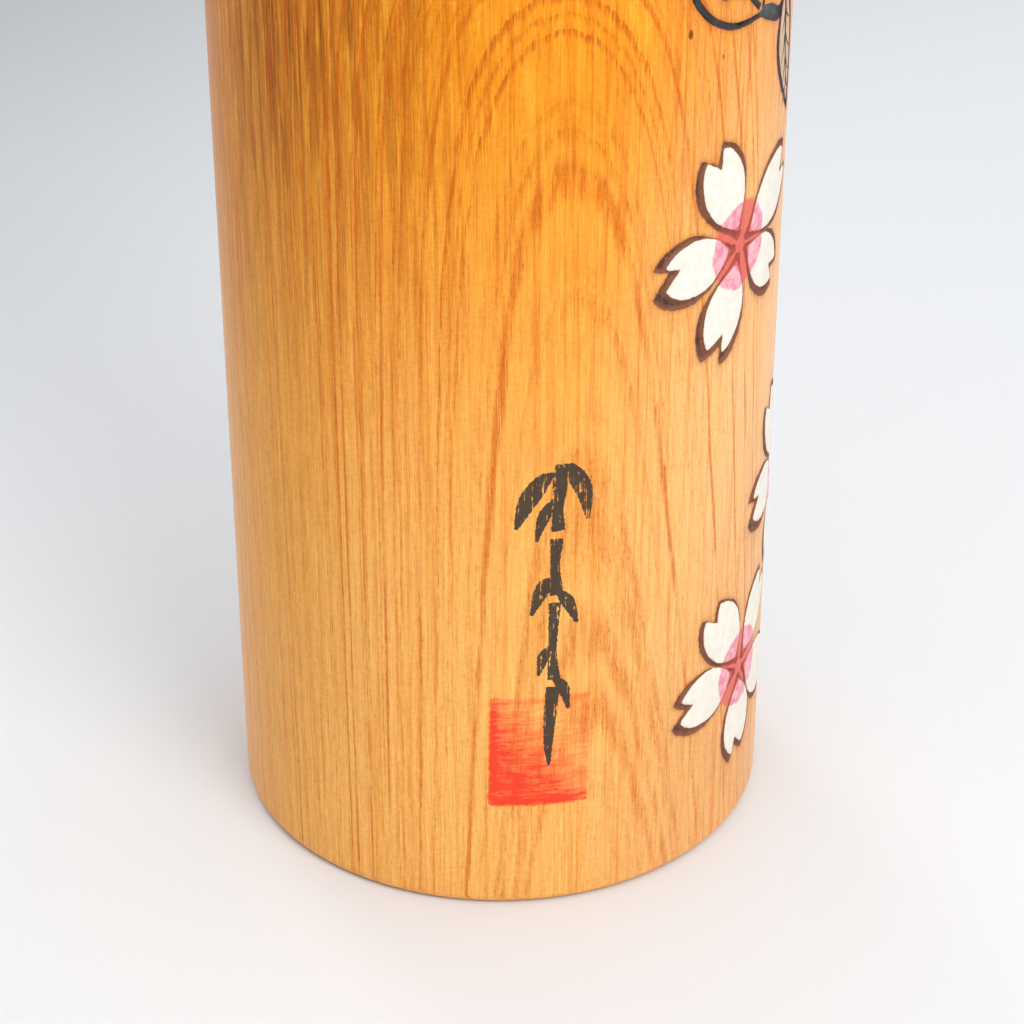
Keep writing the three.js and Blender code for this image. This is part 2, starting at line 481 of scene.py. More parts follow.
def collar_shapes():
    """The crossed collar at the throat: the band from the doll's left lies over the other."""
    shapes = []
    for rank, side in ((RANKS["collar"], 1), (RANKS["collar"] + RANK_STEP, -1)):
        route = [(side * -25.0, 166.0), (side * -17.0, 146.0), (side * -8.0, 131.0), (side * 4.5, 117.5)]
        route = [(x + TURN * BODY_RADIUS, v) for x, v in route]
        shapes.append(Shape("black", rank, brush_stroke([(x, v, 7.2) for x, v in route], CARVED_STEP)))
        route[-1] = (route[-1][0] - side * 0.55, route[-1][1] + 0.65)
        shapes.append(Shape("collar", rank + 1, brush_stroke([(x, v, 5.3) for x, v in route], CARVED_STEP)))
    return shapes


def body_shapes():
    shapes = []
    for i, twig in enumerate(TWIGS):
        stroke = brush_stroke([(*at(azimuth, height), width) for azimuth, height, width in twig], CARVED_STEP)
        shapes.append(Shape("black", RANKS["twig"] + i, wobble(stroke, 0.16, (5, 9, 17, 29), 0.02)))
    for i, (azimuth, height, degrees, length, width, bend, fill) in enumerate(LEAVES):
        rank = RANKS["leaf"] + RANK_STEP * i
        shapes += leaf(at(azimuth, height), degrees, length, width, rank, bend, fill)
    for i, (azimuth, height, directions, lengths, pen) in enumerate(BLOSSOMS):
        rank = RANKS["blossom"] + RANK_STEP * i
        for degrees, length in zip(directions, lengths):
            shapes += petal(at(azimuth, height), degrees, length, rank, pen)
    for i, (azimuth, height, degrees, length) in enumerate(DRIFTING):
        rank = RANKS["drifting"] + RANK_STEP * i
        shapes += petal(at(azimuth, height), degrees, length, rank)
    shapes += collar_shapes()
    foot = at(MARK_AZIMUTH, MARK_FOOT)
    for stroke in MARK_STROKES:
        points = [(foot[0] + x, foot[1] + y, width * MARK_WEIGHT) for x, y, width in stroke]
        shapes.append(Shape("ink", RANKS["mark"], brush_stroke(points, MARK_STEP, MARK_ROUGH)))
    return shapes


# ---------------------------------------------------------------- triangulating the unrolled surface
def distances(points, targets):
    """How far each (u, v) point is from the nearest target."""
    tree = KDTree(len(targets))
    for i, (u, v) in enumerate(targets):
        tree.insert((u, v, 0), i)
    tree.balance()
    return np.array([tree.find((u, v, 0))[2] for u, v in points])


def rising(depth, reach):
    """From 0 at depth 0 towards 1, most of it within `reach`."""
    return 1 - np.exp(-depth / reach)


class Sheet:
    """One turn of a skin, cut into triangles that follow every shape's outline."""

    def __init__(self, skin, seam, low, high, cell, split, shapes, band=0.9, spots=()):
        around = TURN * skin.reference
        columns = round(around / cell[0]) * split
        rows = round((high - low) / cell[1]) * split
        step = np.array([around / columns, (high - low) / rows])
        origin = np.array([seam, low])
        wanted = np.zeros((columns + 1, rows + 1), bool)
        wanted[::split, ::split] = True
        outlines = np.vstack([s.outline for s in shapes])
        for centre, reach in [(p, band) for p in outlines[::2]] + list(spots):
            self._mark(wanted, (np.array(centre) - origin) / step, reach / step)
        nearest = np.rint((outlines - origin) / step).astype(int)
        close = np.hypot(*((outlines - origin) / step - nearest).T) < GRID_GAP
        wanted[nearest[close, 0], nearest[close, 1]] = False
        points = [Vector(p) for p in np.argwhere(wanted) * step + origin]
        faces = []
        for shape in shapes:
            faces.append(list(range(len(points), len(points) + len(shape.outline))))
            points += [Vector(p) for p in shape.outline]
        found = delaunay_2d_cdt(points, [], faces, 0, WELD, True)
        ranks = [s.rank for s in shapes]
        kinds = [s.kind for s in shapes] + ["wood"]
        self.kind = np.array([kinds[max(held, key=ranks.__getitem__) if held else -1] for held in found[5]])
        uv = np.array([tuple(p) for p in found[0]])
        self.uv, self.triangles = self._weld(uv, np.array(found[2]), seam, around)

    @staticmethod
    def _mark(wanted, centre, reach):
        """Wants every grid point of the ellipse round `centre`, both given in grid steps."""
        low = np.maximum(np.ceil(centre - reach), 0).astype(int)
        high = np.minimum(np.floor(centre + reach), np.array(wanted.shape) - 1).astype(int)
        if (high < low).any():
            return
        i = np.arange(low[0], high[0] + 1)[:, None]
        j = np.arange(low[1], high[1] + 1)[None, :]
        inside = ((i - centre[0]) / reach[0]) ** 2 + ((j - centre[1]) / reach[1]) ** 2 <= 1
        wanted[low[0]:high[0] + 1, low[1]:high[1] + 1] |= inside

    @staticmethod
    def _weld(uv, triangles, seam, around):
        """Joins the last column of points to the first."""
        first = np.flatnonzero(np.abs(uv[:, 0] - seam) < SAME)
        last = np.flatnonzero(np.abs(uv[:, 0] - seam - around) < SAME)
        target = np.arange(len(uv))
        target[last[np.argsort(uv[last, 1])]] = first[np.argsort(uv[first, 1])]
        kept = np.ones(len(uv), bool)
        kept[last] = False
        renumber = np.cumsum(kept) - 1
        return uv[kept], renumber[target[triangles]]

    def ring(self, v):
        """Indices of the points on one end row, in order round the surface."""
        found = np.flatnonzero(np.abs(self.uv[:, 1] - v) < SAME)
        return found[np.argsort(self.uv[found, 0])]

    def region(self, *kinds):
        """The triangles of these kinds."""
        return self.triangles[np.isin(self.kind, kinds)]

    def depth_inside(self, *kinds):
        """Distance of each point from the edge of these kinds' triangles; zero on it and outside."""
        inside = np.unique(self.region(*kinds))
        outside = np.unique(self.triangles[~np.isin(self.kind, kinds)])
        rim = np.intersect1d(inside, outside)
        deep = np.setdiff1d(inside, rim)
        depth = np.zeros(len(self.uv))
        depth[deep] = distances(self.uv[deep], self.uv[rim])
        return depth


def smooth_object(name, points, faces, material):
    """A smooth-shaded object of points in millimetres."""
    mesh = bpy.data.meshes.new(name)
    mesh.from_pydata((np.asarray(points) * MM).tolist(), [], [list(map(int, face)) for face in faces])
    mesh.shade_smooth()
    mesh.materials.append(material)
    made = bpy.data.objects.new(name, mesh)
    bpy.context.scene.collection.objects.link(made)
    return made


def make_piece(name, points, faces, material, body, attributes=(), crease=LAYER_CREASE):
    """A piece of the doll that rides on a body. Its attributes hold a value for each point."""
    made = smooth_object(name, points, faces, material)
    made.data.set_sharp_from_angle(angle=math.radians(crease))
    for key, values in dict(attributes).items():
        layer = made.data.attributes.new(key, "FLOAT", "POINT")
        layer.data.foreach_set("value", np.asarray(values, np.float32))
    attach(made, body)
    return made


def shell(skin, uv, triangles, top, bottom):
    """A closed thin layer over some triangles: its points, faces and which (u, v) point each is."""
    used, inverse = np.unique(triangles, return_inverse=True)
    triangles = inverse.reshape(-1, 3)
    count = len(used)
    sides = np.vstack([triangles[:, [0, 1]], triangles[:, [1, 2]], triangles[:, [2, 0]]])
    one_way = set(map(tuple, sides.tolist()))
    rim = sorted((a, b) for a, b in one_way if (b, a) not in one_way)
    points = np.vstack([skin.place(uv[used], top[used]), skin.place(uv[used], bottom[used])])
    walls = [(b, a, a + count, b + count) for a, b in rim]
    faces = [*triangles.tolist(), *(triangles[:, ::-1] + count).tolist(), *walls]
    return points, faces, np.concatenate([used, used])


def carry_on(points, faces, ring, angles, outline, upward):
    """Adds rings of points from `ring` along an outline that ends on the axis, and the faces between."""
    points = [np.asarray(points)]
    total = len(points[0])
    count = len(ring)
    previous = np.asarray(ring)
    for radius, height in outline:
        if radius < SAME:
            points.append(np.array([[0, 0, height]]))
            added = [(previous[i], previous[(i + 1) % count], total) for i in range(count)]
        else:
            points.append(turned(angles, radius, height))
            current = np.arange(total, total + count)
            added = [(previous[i], previous[(i + 1) % count], current[(i + 1) % count], current[i])
                     for i in range(count)]
            previous = current
            total += count
        faces += added if upward else [face[::-1] for face in added]
    return np.vstack(points), faces


# ---------------------------------------------------------------- shader building
class Value:
    """An output of a shader node. The signs +, -, * and / add the Math node that works the result out."""

    def __init__(self, shader, socket):
        self.shader = shader
        self.socket = socket

    def __add__(self, other):
        return self.shader.math("ADD", self, other)

    def __sub__(self, other):
        return self.shader.math("SUBTRACT", self, other)

    def __mul__(self, other):
        return self.shader.math("MULTIPLY", self, other)

    def __truediv__(self, other):
        return self.shader.math("DIVIDE", self, other)


class Shader:
    """A material's node tree, with short ways to add and link nodes. Vectors are in millimetres."""

    def __init__(self, name):
        self.material = bpy.data.materials.new(name)
        self.material.use_nodes = True
        self.tree = self.material.node_tree
        self.surface = self.tree.nodes["Principled BSDF"]
        self.place = self.vector("MULTIPLY", self.node("TexCoord", "Object"), (1 / MM, 1 / MM, 1 / MM))

    def feed(self, socket, value):
        if isinstance(value, Value):
            self.tree.links.new(value.socket, socket)
        else:
            socket.default_value = value

    def node(self, kind, output, inputs=(), **settings):
        """Adds a node and gives one of its outputs."""
        made = self.tree.nodes.new("ShaderNode" + kind)
        for key, value in settings.items():
            setattr(made, key, value)
        for key, value in dict(inputs).items():
            self.feed(made.inputs[key], value)
        return Value(self, made.outputs[output])

    def vector(self, operation, first, second=(0, 0, 0)):
        output = "Value" if operation in ("DOT_PRODUCT", "LENGTH") else "Vector"
        return self.node("VectorMath", output, {0: first, 1: second}, operation=operation)

    def math(self, operation, first, second=0.0):
        return self.node("Math", 0, {0: first, 1: second}, operation=operation)

    def axis(self, name):
        return self.node("SeparateXYZ", name, {0: self.place})

    def smooth(self, value, low, high, start=0.0, end=1.0):
        """Eases from start to end while `value` goes from low to high."""
        inputs = {"Value": value, "From Min": low, "From Max": high, "To Min": start, "To Max": end}
        return self.node("MapRange", "Result", inputs, interpolation_type="SMOOTHSTEP")

    def noise(self, across, along, detail=2.0, roughness=0.5):
        """Noise from 0 to 1 whose features are about `across` mm wide and `along` mm tall."""
        place = self.vector("MULTIPLY", self.place, (1 / across, 1 / across, 1 / along))
        inputs = {"Vector": place, "Scale": 1.0, "Detail": detail, "Roughness": roughness}
        return self.node("TexNoise", "Fac", inputs)

    def warp(self, across, along, detail, amount):
        """Noise of this amount round zero."""
        return (self.noise(across, along, detail) - 0.5) * amount

    def mix(self, share, first, second, blend="MIX"):
        inputs = {"Factor": share, 6: first, 7: second}
        return self.node("Mix", 2, inputs, data_type="RGBA", blend_type=blend)

    def attribute(self, name):
        return self.node("Attribute", "Fac", attribute_name=name)

    def bump(self, height, strength, distance):
        inputs = {"Height": height, "Strength": strength, "Distance": distance * MM}
        return self.node("Bump", "Normal", inputs)

    def finish(self, colour, roughness, normal=(0, 0, 0), coat=0.0, coat_roughness=0.2, specular=0.5,
               sheen=0.0):
        inputs = {"Base Color": colour, "Roughness": roughness, "Normal": normal, "Coat Weight": coat,
                  "Coat Roughness": coat_roughness, "Specular IOR Level": specular, "Sheen Weight": sheen,
                  "Sheen Roughness": 0.35}
        for name, value in inputs.items():
            self.feed(self.surface.inputs[name], value)
        return self.material


def rgb(red, green, blue):
    """A linear colour from sRGB values of 0 to 255."""
    linear = [(c / 255 / 12.92 if c <= 10 else ((c / 255 + 0.055) / 1.055) ** 2.4)
              for c in (red, green, blue)]
    return (*linear, 1.0)


# ---------------------------------------------------------------- materials
# The body's colour from bottom to top: its paler, less saturated bottom is a painted reflection of the pale
# floor.
WOOD_HIGH = rgb(238, 139, 12)
WOOD_LOW = rgb(244, 178, 94)
WOOD_PALE = rgb(253, 190, 106)
WOOD_GOLD = rgb(255, 176, 52)
# Colours of a painted reflection on the side towards the key light.
WOOD_REFLECTION = rgb(245, 198, 140)
WOOD_REFLECTION_LOW = rgb(227, 169, 111)
# Olive-gold painted on the side away from the key light, as that side looks in shade.
WOOD_SHADED_OLIVE = rgb(230, 160, 58)
# Darker brown of the painted shade on the upper side away from the key light, under the head.
WOOD_PAINTED_SHADE = rgb(134, 64, 6)
WOOD_DARK = rgb(224, 128, 34)
WOOD_FLAME = rgb(198, 88, 2)
WOOD_LIGHT = rgb(255, 204, 120)
WOOD_STREAK = rgb(206, 98, 16)
WOOD_PORE = rgb(168, 82, 20)
WOOD_KNOT = rgb(92, 34, 8)

# Growth rings of the body: the tree's pith lies behind the doll, on the side its face looks to.
GRAIN_AZIMUTH = math.radians(181.7)
PITH_DISTANCE = 62.0
PITH_LEAN = 0.078
LEAN_FROM = 113.0
RING_WIDTH = 0.26
RING_TAPER = 0.018
RING_WARPS = ((22, 90, 1.0, 0.5), (2.6, 30, 2.0, 0.16), (0.38, 8, 2.0, 0.12))
RING_SEED = 3.0
FLARE = 1.3
FLARE_TOP = 137.0
FLARE_LENGTH = 14.0
STRONG_RINGS = (99.7, 97.3, 95.3, 93.9, 92.6, 92.0, 85.6, 77.1)
FAINT_RINGS = (101.72, 101.42, 101.05, 100.82)
FAINTNESS = 0.55


def growth_rings(s, height, side):
    """The porous early wood, the dense late wood and the few strong rings, each from 0 to 1."""
    towards = (math.sin(GRAIN_AZIMUTH), -math.cos(GRAIN_AZIMUTH), 0)
    depth = s.vector("DOT_PRODUCT", s.place, towards) + PITH_DISTANCE
    radius = s.math("SQRT", depth * depth + side * side)
    rise = s.math("EXPONENT", (height - FLARE_TOP) / FLARE_LENGTH)
    rings = radius - height * RING_TAPER - rise * FLARE
    for across, along, detail, amount in RING_WARPS:
        rings = rings + s.warp(across, along, detail, amount)
    uneven = s.node("TexNoise", "Fac", {"W": rings * 0.7, "Scale": 1.0, "Detail": 1.0}, noise_dimensions="1D")
    count = rings / RING_WIDTH + uneven * 2.2
    phase = s.math("FRACT", count)
    drawn = s.node("TexWhiteNoise", "Value", {"W": s.math("FLOOR", count) + RING_SEED}, noise_dimensions="1D")
    steep = rise + s.math("ABSOLUTE", side) / 24
    early = s.smooth(phase, 0.0, 0.12) * s.smooth(phase, 0.20, 0.70, 1.0, 0.0)
    early = early * (s.smooth(drawn, 0.2, 1.0, 0.15, 1.0) * s.smooth(steep, 0.10, 0.85, 0.35, 1.0))
    early = early * s.smooth(s.noise(0.35, 4.5, 2.0, 0.6), 0.38, 0.60, 0.25, 1.0)
    early = early * s.smooth(side, 4.0, 26.0, 1.0, 0.34)
    strong = 0.0
    for ring in STRONG_RINGS + FAINT_RINGS:
        off = s.math("ABSOLUTE", rings - ring)
        weight = FAINTNESS if ring in FAINT_RINGS else 1.0
        strong = s.math("MAXIMUM", strong, s.smooth(off, 0.14, 0.02, 0.0, weight))
    strong = strong * s.smooth(s.noise(1.2, 16.0), 0.36, 0.58, 0.25, 1.0)
    return early, s.smooth(phase, 0.35, 1.0), strong


def body_grain(s):
    """Colour, roughness and height of the ring-porous body wood, with painted shade on the side away from the
    key light and a painted reflection towards the key light and the bottom.
    """
    height = s.axis("Z")
    across = (math.cos(GRAIN_AZIMUTH), math.sin(GRAIN_AZIMUTH), 0)
    side = s.vector("DOT_PRODUCT", s.place, across) + s.math("SUBTRACT", LEAN_FROM, height) * PITH_LEAN
    early, late, strong = growth_rings(s, height, side)
    fibre = s.noise(0.22, 7.0, 3.0, 0.7)
    pores = s.smooth(s.noise(0.15, 1.4, 1.0), 0.56, 0.70) * (s.math("MAXIMUM", early, strong) * 0.75 + 0.13)

    # Paler and less saturated towards the bottom: a painted reflection of the pale floor in the finish, which
    # upper also carries into the grain's dark and light colours.
    upper = s.smooth(height, 38.0, 138.0)
    dark = s.mix(upper, WOOD_DARK, WOOD_FLAME)
    light = s.mix(upper, WOOD_LIGHT, WOOD_GOLD)
    colour = s.mix(upper, WOOD_LOW, WOOD_HIGH)
    colour = s.mix(s.noise(11.0, 90.0, 1.0) * 0.5, colour, s.mix(upper, WOOD_PALE, WOOD_GOLD))
    # Paler and hazier on the side towards the key light, less so higher up: a painted reflection of the
    # bright studio in the finish.
    painted_reflection_colour = s.mix(s.smooth(height, 15.0, 85.0), WOOD_REFLECTION_LOW, WOOD_REFLECTION)
    painted_reflection = s.smooth(side, 2.0, 30.0, 0.0, 0.76) * s.smooth(height, 96.0, 134.0, 1.0, 0.45)
    colour = s.mix(painted_reflection, colour, painted_reflection_colour)
    # Tinted olive-gold towards the side away from the key light: painted colour of that shaded side.
    colour = s.mix(s.smooth(side, -18.0, -38.0, 0.0, 0.70), colour, WOOD_SHADED_OLIVE)
    # Darker, broken into streaks, on the upper part of the side away from the key light: painted shade of
    # that side and of the head above it.
    painted_shade = s.smooth(side, -9.0, -31.0) * s.smooth(height, 72.0, 138.0)
    painted_shade = painted_shade * s.smooth(s.noise(1.3, 40.0, 3.0), 0.40, 0.60, 0.34, 0.96)
    painted_shade = painted_shade * s.smooth(side, -41.0, -37.0, 0.35, 1.0)
    colour = s.mix(painted_shade, colour, WOOD_PAINTED_SHADE)
    colour = s.mix(s.smooth(s.noise(0.8, 60.0, 4.0, 0.7), 0.46, 0.70) * 0.60, colour, dark)
    strokes = s.noise(0.9, 11.0, 3.0, 0.6)
    colour = s.mix(upper * s.smooth(strokes, 0.52, 0.68, 0.0, 0.38), colour, dark)
    colour = s.mix(upper * s.smooth(strokes, 0.48, 0.34, 0.0, 0.50), colour, WOOD_GOLD)
    colour = s.mix(s.smooth(s.noise(0.6, 34.0, 3.0, 0.65), 0.52, 0.72) * 0.40, colour, light)
    colour = s.mix(late * 0.16, colour, dark)
    colour = s.mix(early * 0.90, colour, dark)
    colour = s.mix(strong * 0.70, colour, WOOD_STREAK)
    colour = s.mix(s.smooth(fibre, 0.50, 0.72, 0.0, 0.30), colour, light)
    shade = (fibre - 0.5) * 0.56 + (s.noise(0.8, 0.42, 2.0, 0.6) - 0.5) * 0.34 + 1.0
    grey = s.node("CombineColor", 0, {channel: shade for channel in range(3)})
    colour = s.mix(1.0, colour, grey, "MULTIPLY")
    colour = s.mix(s.math("MINIMUM", pores, 0.5), colour, WOOD_PORE)
    colour = s.mix(s.smooth(s.attribute("speck"), 1.0, 0.45) * 0.85, colour, WOOD_KNOT)
    return colour, fibre * 0.16 + (pores * 0.2 + 0.30), fibre * 0.25 - pores


def stain_and_stamp(s, colour):
    """The scorched wood by the grooves, the red stain in each blossom's centre, and the worn stamp."""
    colour = s.mix(s.attribute("scorch") * 0.55, colour, rgb(152, 74, 24))
    edge = s.attribute("bloom") + s.warp(1.1, 1.1, 3.0, 1.2)
    colour = s.mix(s.smooth(edge, PINK_RADIUS + 0.4, PINK_RADIUS - 0.6) * 0.86, colour, rgb(218, 92, 86))
    across = s.attribute("stamp_x")
    up = s.attribute("stamp_y")
    ragged = s.warp(0.9, 0.5, 3.0, 0.9)
    inside = 1.0
    border = 0.0
    for offset, half in ((across, STAMP_WIDTH / 2), (up, STAMP_TALL / 2)):
        reach = s.math("ABSOLUTE", offset) + ragged
        inside = s.math("MULTIPLY", inside, s.smooth(reach, half + 0.2, half - 0.35))
        border = s.math("MAXIMUM", border, s.smooth(reach, half - 1.6, half - 0.9))
    lower_left = s.smooth(across * 1.15 + up, 8.0, -7.0)
    bands = s.smooth(s.noise(3.5, 0.42), 0.40, 0.62)
    worn = s.smooth(s.noise(2.4, 1.3, 3.0, 0.65), 0.34, 0.62)
    cover = (lower_left * 0.88 + border * 0.22 + bands * 0.26) * (worn * 0.32 + 0.68)
    return s.mix(inside * s.math("MINIMUM", cover, 0.95), colour, rgb(238, 56, 40))


def body_material():
    s = Shader("body_wood")
    colour, rough, relief = body_grain(s)
    colour = stain_and_stamp(s, colour)
    return s.finish(colour, rough, s.bump(relief, 0.35, 0.06), coat=0.04, coat_roughness=0.26, specular=0.08,
                    sheen=0.16)


def ink_material():
    """Dry-brushed ink: bare wood shows through between the bristle tracks."""
    s = Shader("brush_ink")
    colour, _, relief = body_grain(s)
    colour = stain_and_stamp(s, colour)
    dry = s.noise(0.30, 3.4, 2.0, 0.6) * 0.65 + s.noise(0.5, 0.7) * 0.35
    ink = s.smooth(dry, 0.66, 0.57)
    tone = s.mix(s.noise(1.0, 4.0), rgb(26, 29, 29), rgb(58, 57, 51))
    colour = s.mix(ink * 0.95, colour, tone)
    return s.finish(colour, ink * 0.12 + 0.36, s.bump(relief, 0.3, 0.05), coat=0.06, coat_roughness=0.3,
                    specular=0.2)


def burnt_material():
    """Scorched line: brown where it is thin, near black where the pen stayed, red in the flower's centre."""
    s = Shader("burnt_line")
    patches = (s.noise(1.3, 1.8, 3.0, 0.6) - 0.5) * 0.9
    grit = s.noise(0.30, 0.5, 3.0, 0.7)
    char = s.smooth(s.attribute("depth") + patches, 0.15, 0.95)
    colour = s.mix(char, rgb(130, 78, 54), rgb(38, 29, 27))
    colour = s.mix(s.smooth(grit, 0.46, 0.68) * 0.45, colour, rgb(164, 104, 72))
    near = s.smooth(s.attribute("bloom") + patches, 7.2, 3.0)
    colour = s.mix(near * 0.72, colour, rgb(176, 74, 66))
    return s.finish(colour, grit * 0.25 + 0.50, s.bump(grit, 0.6, 0.14), coat=0.06, coat_roughness=0.35,
                    specular=0.3)


def black_material():
    """The glossy blue-black line of the twigs and leaves, brown at its edges."""
    s = Shader("black_line")
    grit = s.noise(0.35, 0.7, 3.0, 0.65)
    colour = s.mix(s.smooth(s.noise(1.4, 3.0), 0.35, 0.7), rgb(24, 23, 25), rgb(50, 51, 54))
    colour = s.mix(s.smooth(s.attribute("depth"), 0.30, 0.0) * 0.55, colour, rgb(96, 52, 28))
    return s.finish(colour, grit * 0.2 + 0.32, s.bump(grit, 0.5, 0.12), coat=0.2, coat_roughness=0.22,
                    specular=0.3)


def petal_material():
    """Thick white paint, washed with pink round the blossom's centre."""
    s = Shader("petal_paint")
    thick = s.noise(1.6, 1.6, 3.0)
    brush = s.noise(0.35, 0.35, 3.0, 0.6)
    white = s.mix(s.smooth(thick, 0.35, 0.7), rgb(232, 223, 208), rgb(240, 232, 219))
    white = s.mix(s.smooth(s.attribute("depth"), 0.30, 0.02) * 0.30, white, rgb(214, 186, 150))
    edge = s.attribute("bloom") + (thick - 0.5)
    washed = s.smooth(edge, PINK_RADIUS + 0.05, PINK_RADIUS - 0.35)
    rim = washed * s.smooth(edge, PINK_RADIUS - 1.9, PINK_RADIUS - 0.6)
    pink = s.mix(s.smooth(s.noise(1.1, 1.1), 0.34, 0.62), rgb(224, 118, 142), rgb(240, 172, 184))
    pink = s.mix(rim * 0.25, pink, rgb(222, 104, 134))
    pink = s.mix(s.smooth(s.noise(0.55, 0.55, 1.0), 0.66, 0.76) * 0.5, pink, rgb(214, 70, 116))
    colour = s.mix(washed * 0.92, white, pink)
    return s.finish(colour, brush * 0.15 + 0.42, s.bump(thick * 0.7 + brush * 0.3, 0.5, 0.10), coat=0.15,
                    coat_roughness=0.3)


def wash_material(name, first, second, dark, cover):
    """A thin wash over the wood, in which the grain still shows."""
    s = Shader(name)
    wood, rough, relief = body_grain(s)
    tint = s.mix(s.smooth(s.noise(2.2, 2.2, 3.0), 0.35, 0.65), first, second)
    tint = s.mix(s.smooth(s.noise(0.5, 1.8, 3.0, 0.6), 0.55, 0.75) * 0.5, tint, dark)
    colour = s.mix(cover, wood, tint)
    return s.finish(colour, rough + 0.08, s.bump(relief, 0.3, 0.05), coat=0.2, coat_roughness=0.3)


def head_material():
    """Pale, even-grained wood of the head, with blush on the cheeks."""
    s = Shader("head_wood")
    rings = s.vector("DOT_PRODUCT", s.place, (0.94, 0.34, 0.03)) + s.noise(22, 60, 1.0) * 7.0
    late = s.smooth(s.math("FRACT", rings / 3.4), 0.3, 1.0)
    fibre = s.noise(0.4, 8.0, 3.0, 0.6)
    colour = s.mix(s.noise(16, 40, 1.0), rgb(240, 208, 164), rgb(246, 219, 180))
    colour = s.mix(late * 0.28, colour, rgb(228, 188, 138))
    colour = s.mix(s.smooth(fibre, 0.45, 0.75) * 0.25, colour, rgb(222, 180, 130))
    colour = s.mix(s.smooth(s.noise(0.25, 1.4, 1.0), 0.66, 0.76) * 0.30, colour, rgb(190, 140, 92))
    from_cheek = {0: s.math("ABSOLUTE", s.axis("X")) - CHEEK[0], 1: 0.0, 2: s.axis("Z") - CHEEK[1]}
    near = s.smooth(s.vector("LENGTH", s.node("CombineXYZ", 0, from_cheek)), CHEEK_RADIUS, 0.5)
    front = s.smooth(s.axis("Y"), -12.0, -22.0)
    colour = s.mix(near * front * 0.42, colour, rgb(232, 116, 96))
    return s.finish(colour, fibre * 0.14 + 0.34, s.bump(fibre, 0.2, 0.05), coat=0.35, coat_roughness=0.25)


def hair_material():
    """Black lacquer, worn to brown along the raised edges of the hair."""
    s = Shader("hair_lacquer")
    worn = s.smooth(s.noise(2.5, 2.5, 3.0, 0.6), 0.45, 0.7)
    fine = s.noise(0.6, 5.0, 3.0)
    colour = s.mix(fine, rgb(13, 12, 12), rgb(27, 23, 21))
    rim = s.smooth(s.attribute("depth"), 1.1, 0.2) * worn
    colour = s.mix(rim * 0.55, colour, rgb(92, 56, 34))
    return s.finish(colour, fine * 0.14 + 0.24, s.bump(fine, 0.25, 0.05), coat=0.4, coat_roughness=0.12,
                    specular=0.22)


def paint_material(name, dark, light, roughness):
    """Opaque brushed paint of one hue, a little uneven in thickness."""
    s = Shader(name)
    uneven = s.noise(0.8, 0.8, 3.0, 0.6)
    return s.finish(s.mix(uneven, dark, light), uneven * 0.15 + roughness, s.bump(uneven, 0.4, 0.04),
                    coat=0.15, coat_roughness=0.25)


def peg_material():
    """Beech dowel: pale, with short dark flecks."""
    s = Shader("peg_wood")
    fibre = s.noise(0.5, 12.0, 3.0)
    colour = s.mix(fibre, rgb(206, 168, 122), rgb(222, 188, 146))
    colour = s.mix(s.smooth(s.noise(0.35, 2.2, 1.0), 0.60, 0.72) * 0.45, colour, rgb(150, 104, 66))
    return s.finish(colour, fibre * 0.15 + 0.5, s.bump(fibre, 0.3, 0.06))


# ---------------------------------------------------------------- the body
def body_skin():
    """The turned side of the body, from its base edge over the shoulder to the neck."""
    inner = BODY_RADIUS - SHOULDER_DEPTH
    rise = SHOULDER_TOP - STRAIGHT_TOP
    outline = [*line((BODY_RADIUS, BASE_EDGE), (BODY_RADIUS, STRAIGHT_TOP)),
               *arc((inner, STRAIGHT_TOP), (SHOULDER_DEPTH, rise), 0, 90, 60),
               (inner, SHOULDER_TOP)]
    return Skin(outline, BASE_EDGE, BODY_RADIUS)


def base_outline():
    """From the body's base edge to the middle of its underside."""
    return [*arc((BODY_RADIUS - BASE_EDGE, BASE_EDGE), (BASE_EDGE, BASE_EDGE), 0, -90, 7)[1:],
            *line((BODY_RADIUS - BASE_EDGE, 0), (0, 0), 3.0),
            (0, 0)]


def neck_outline():
    """From the shoulder over the neck and its soft lip to the floor of the peg's socket."""
    fillet = NECK_RADIUS + NECK_FILLET
    soft = (SOFT_EDGE, SOFT_EDGE)
    lip = NECK_TOP - SOFT_EDGE
    outer = NECK_RADIUS - SOFT_EDGE
    inner = SOCKET_RADIUS + SOFT_EDGE
    bottom = SOCKET_RADIUS - SOFT_EDGE
    return [*line((fillet + 2, SHOULDER_TOP), (fillet, SHOULDER_TOP)),
            *arc((fillet, SHOULDER_TOP + NECK_FILLET), (NECK_FILLET, NECK_FILLET), -90, -180, 7),
            (NECK_RADIUS, SHOULDER_TOP + NECK_FILLET),
            *arc((outer, lip), soft, 0, 90, 5),
            (outer, NECK_TOP),
            *line((outer - 0.5, NECK_TOP), (inner, NECK_TOP), 1.5),
            *arc((inner, lip), soft, 90, 180, 5),
            *line((SOCKET_RADIUS, lip), (SOCKET_RADIUS, SOCKET_FLOOR + SOFT_EDGE), 3.0),
            *arc((bottom, SOCKET_FLOOR + SOFT_EDGE), soft, 0, -90, 4),
            (bottom, SOCKET_FLOOR),
            (0, SOCKET_FLOOR)]


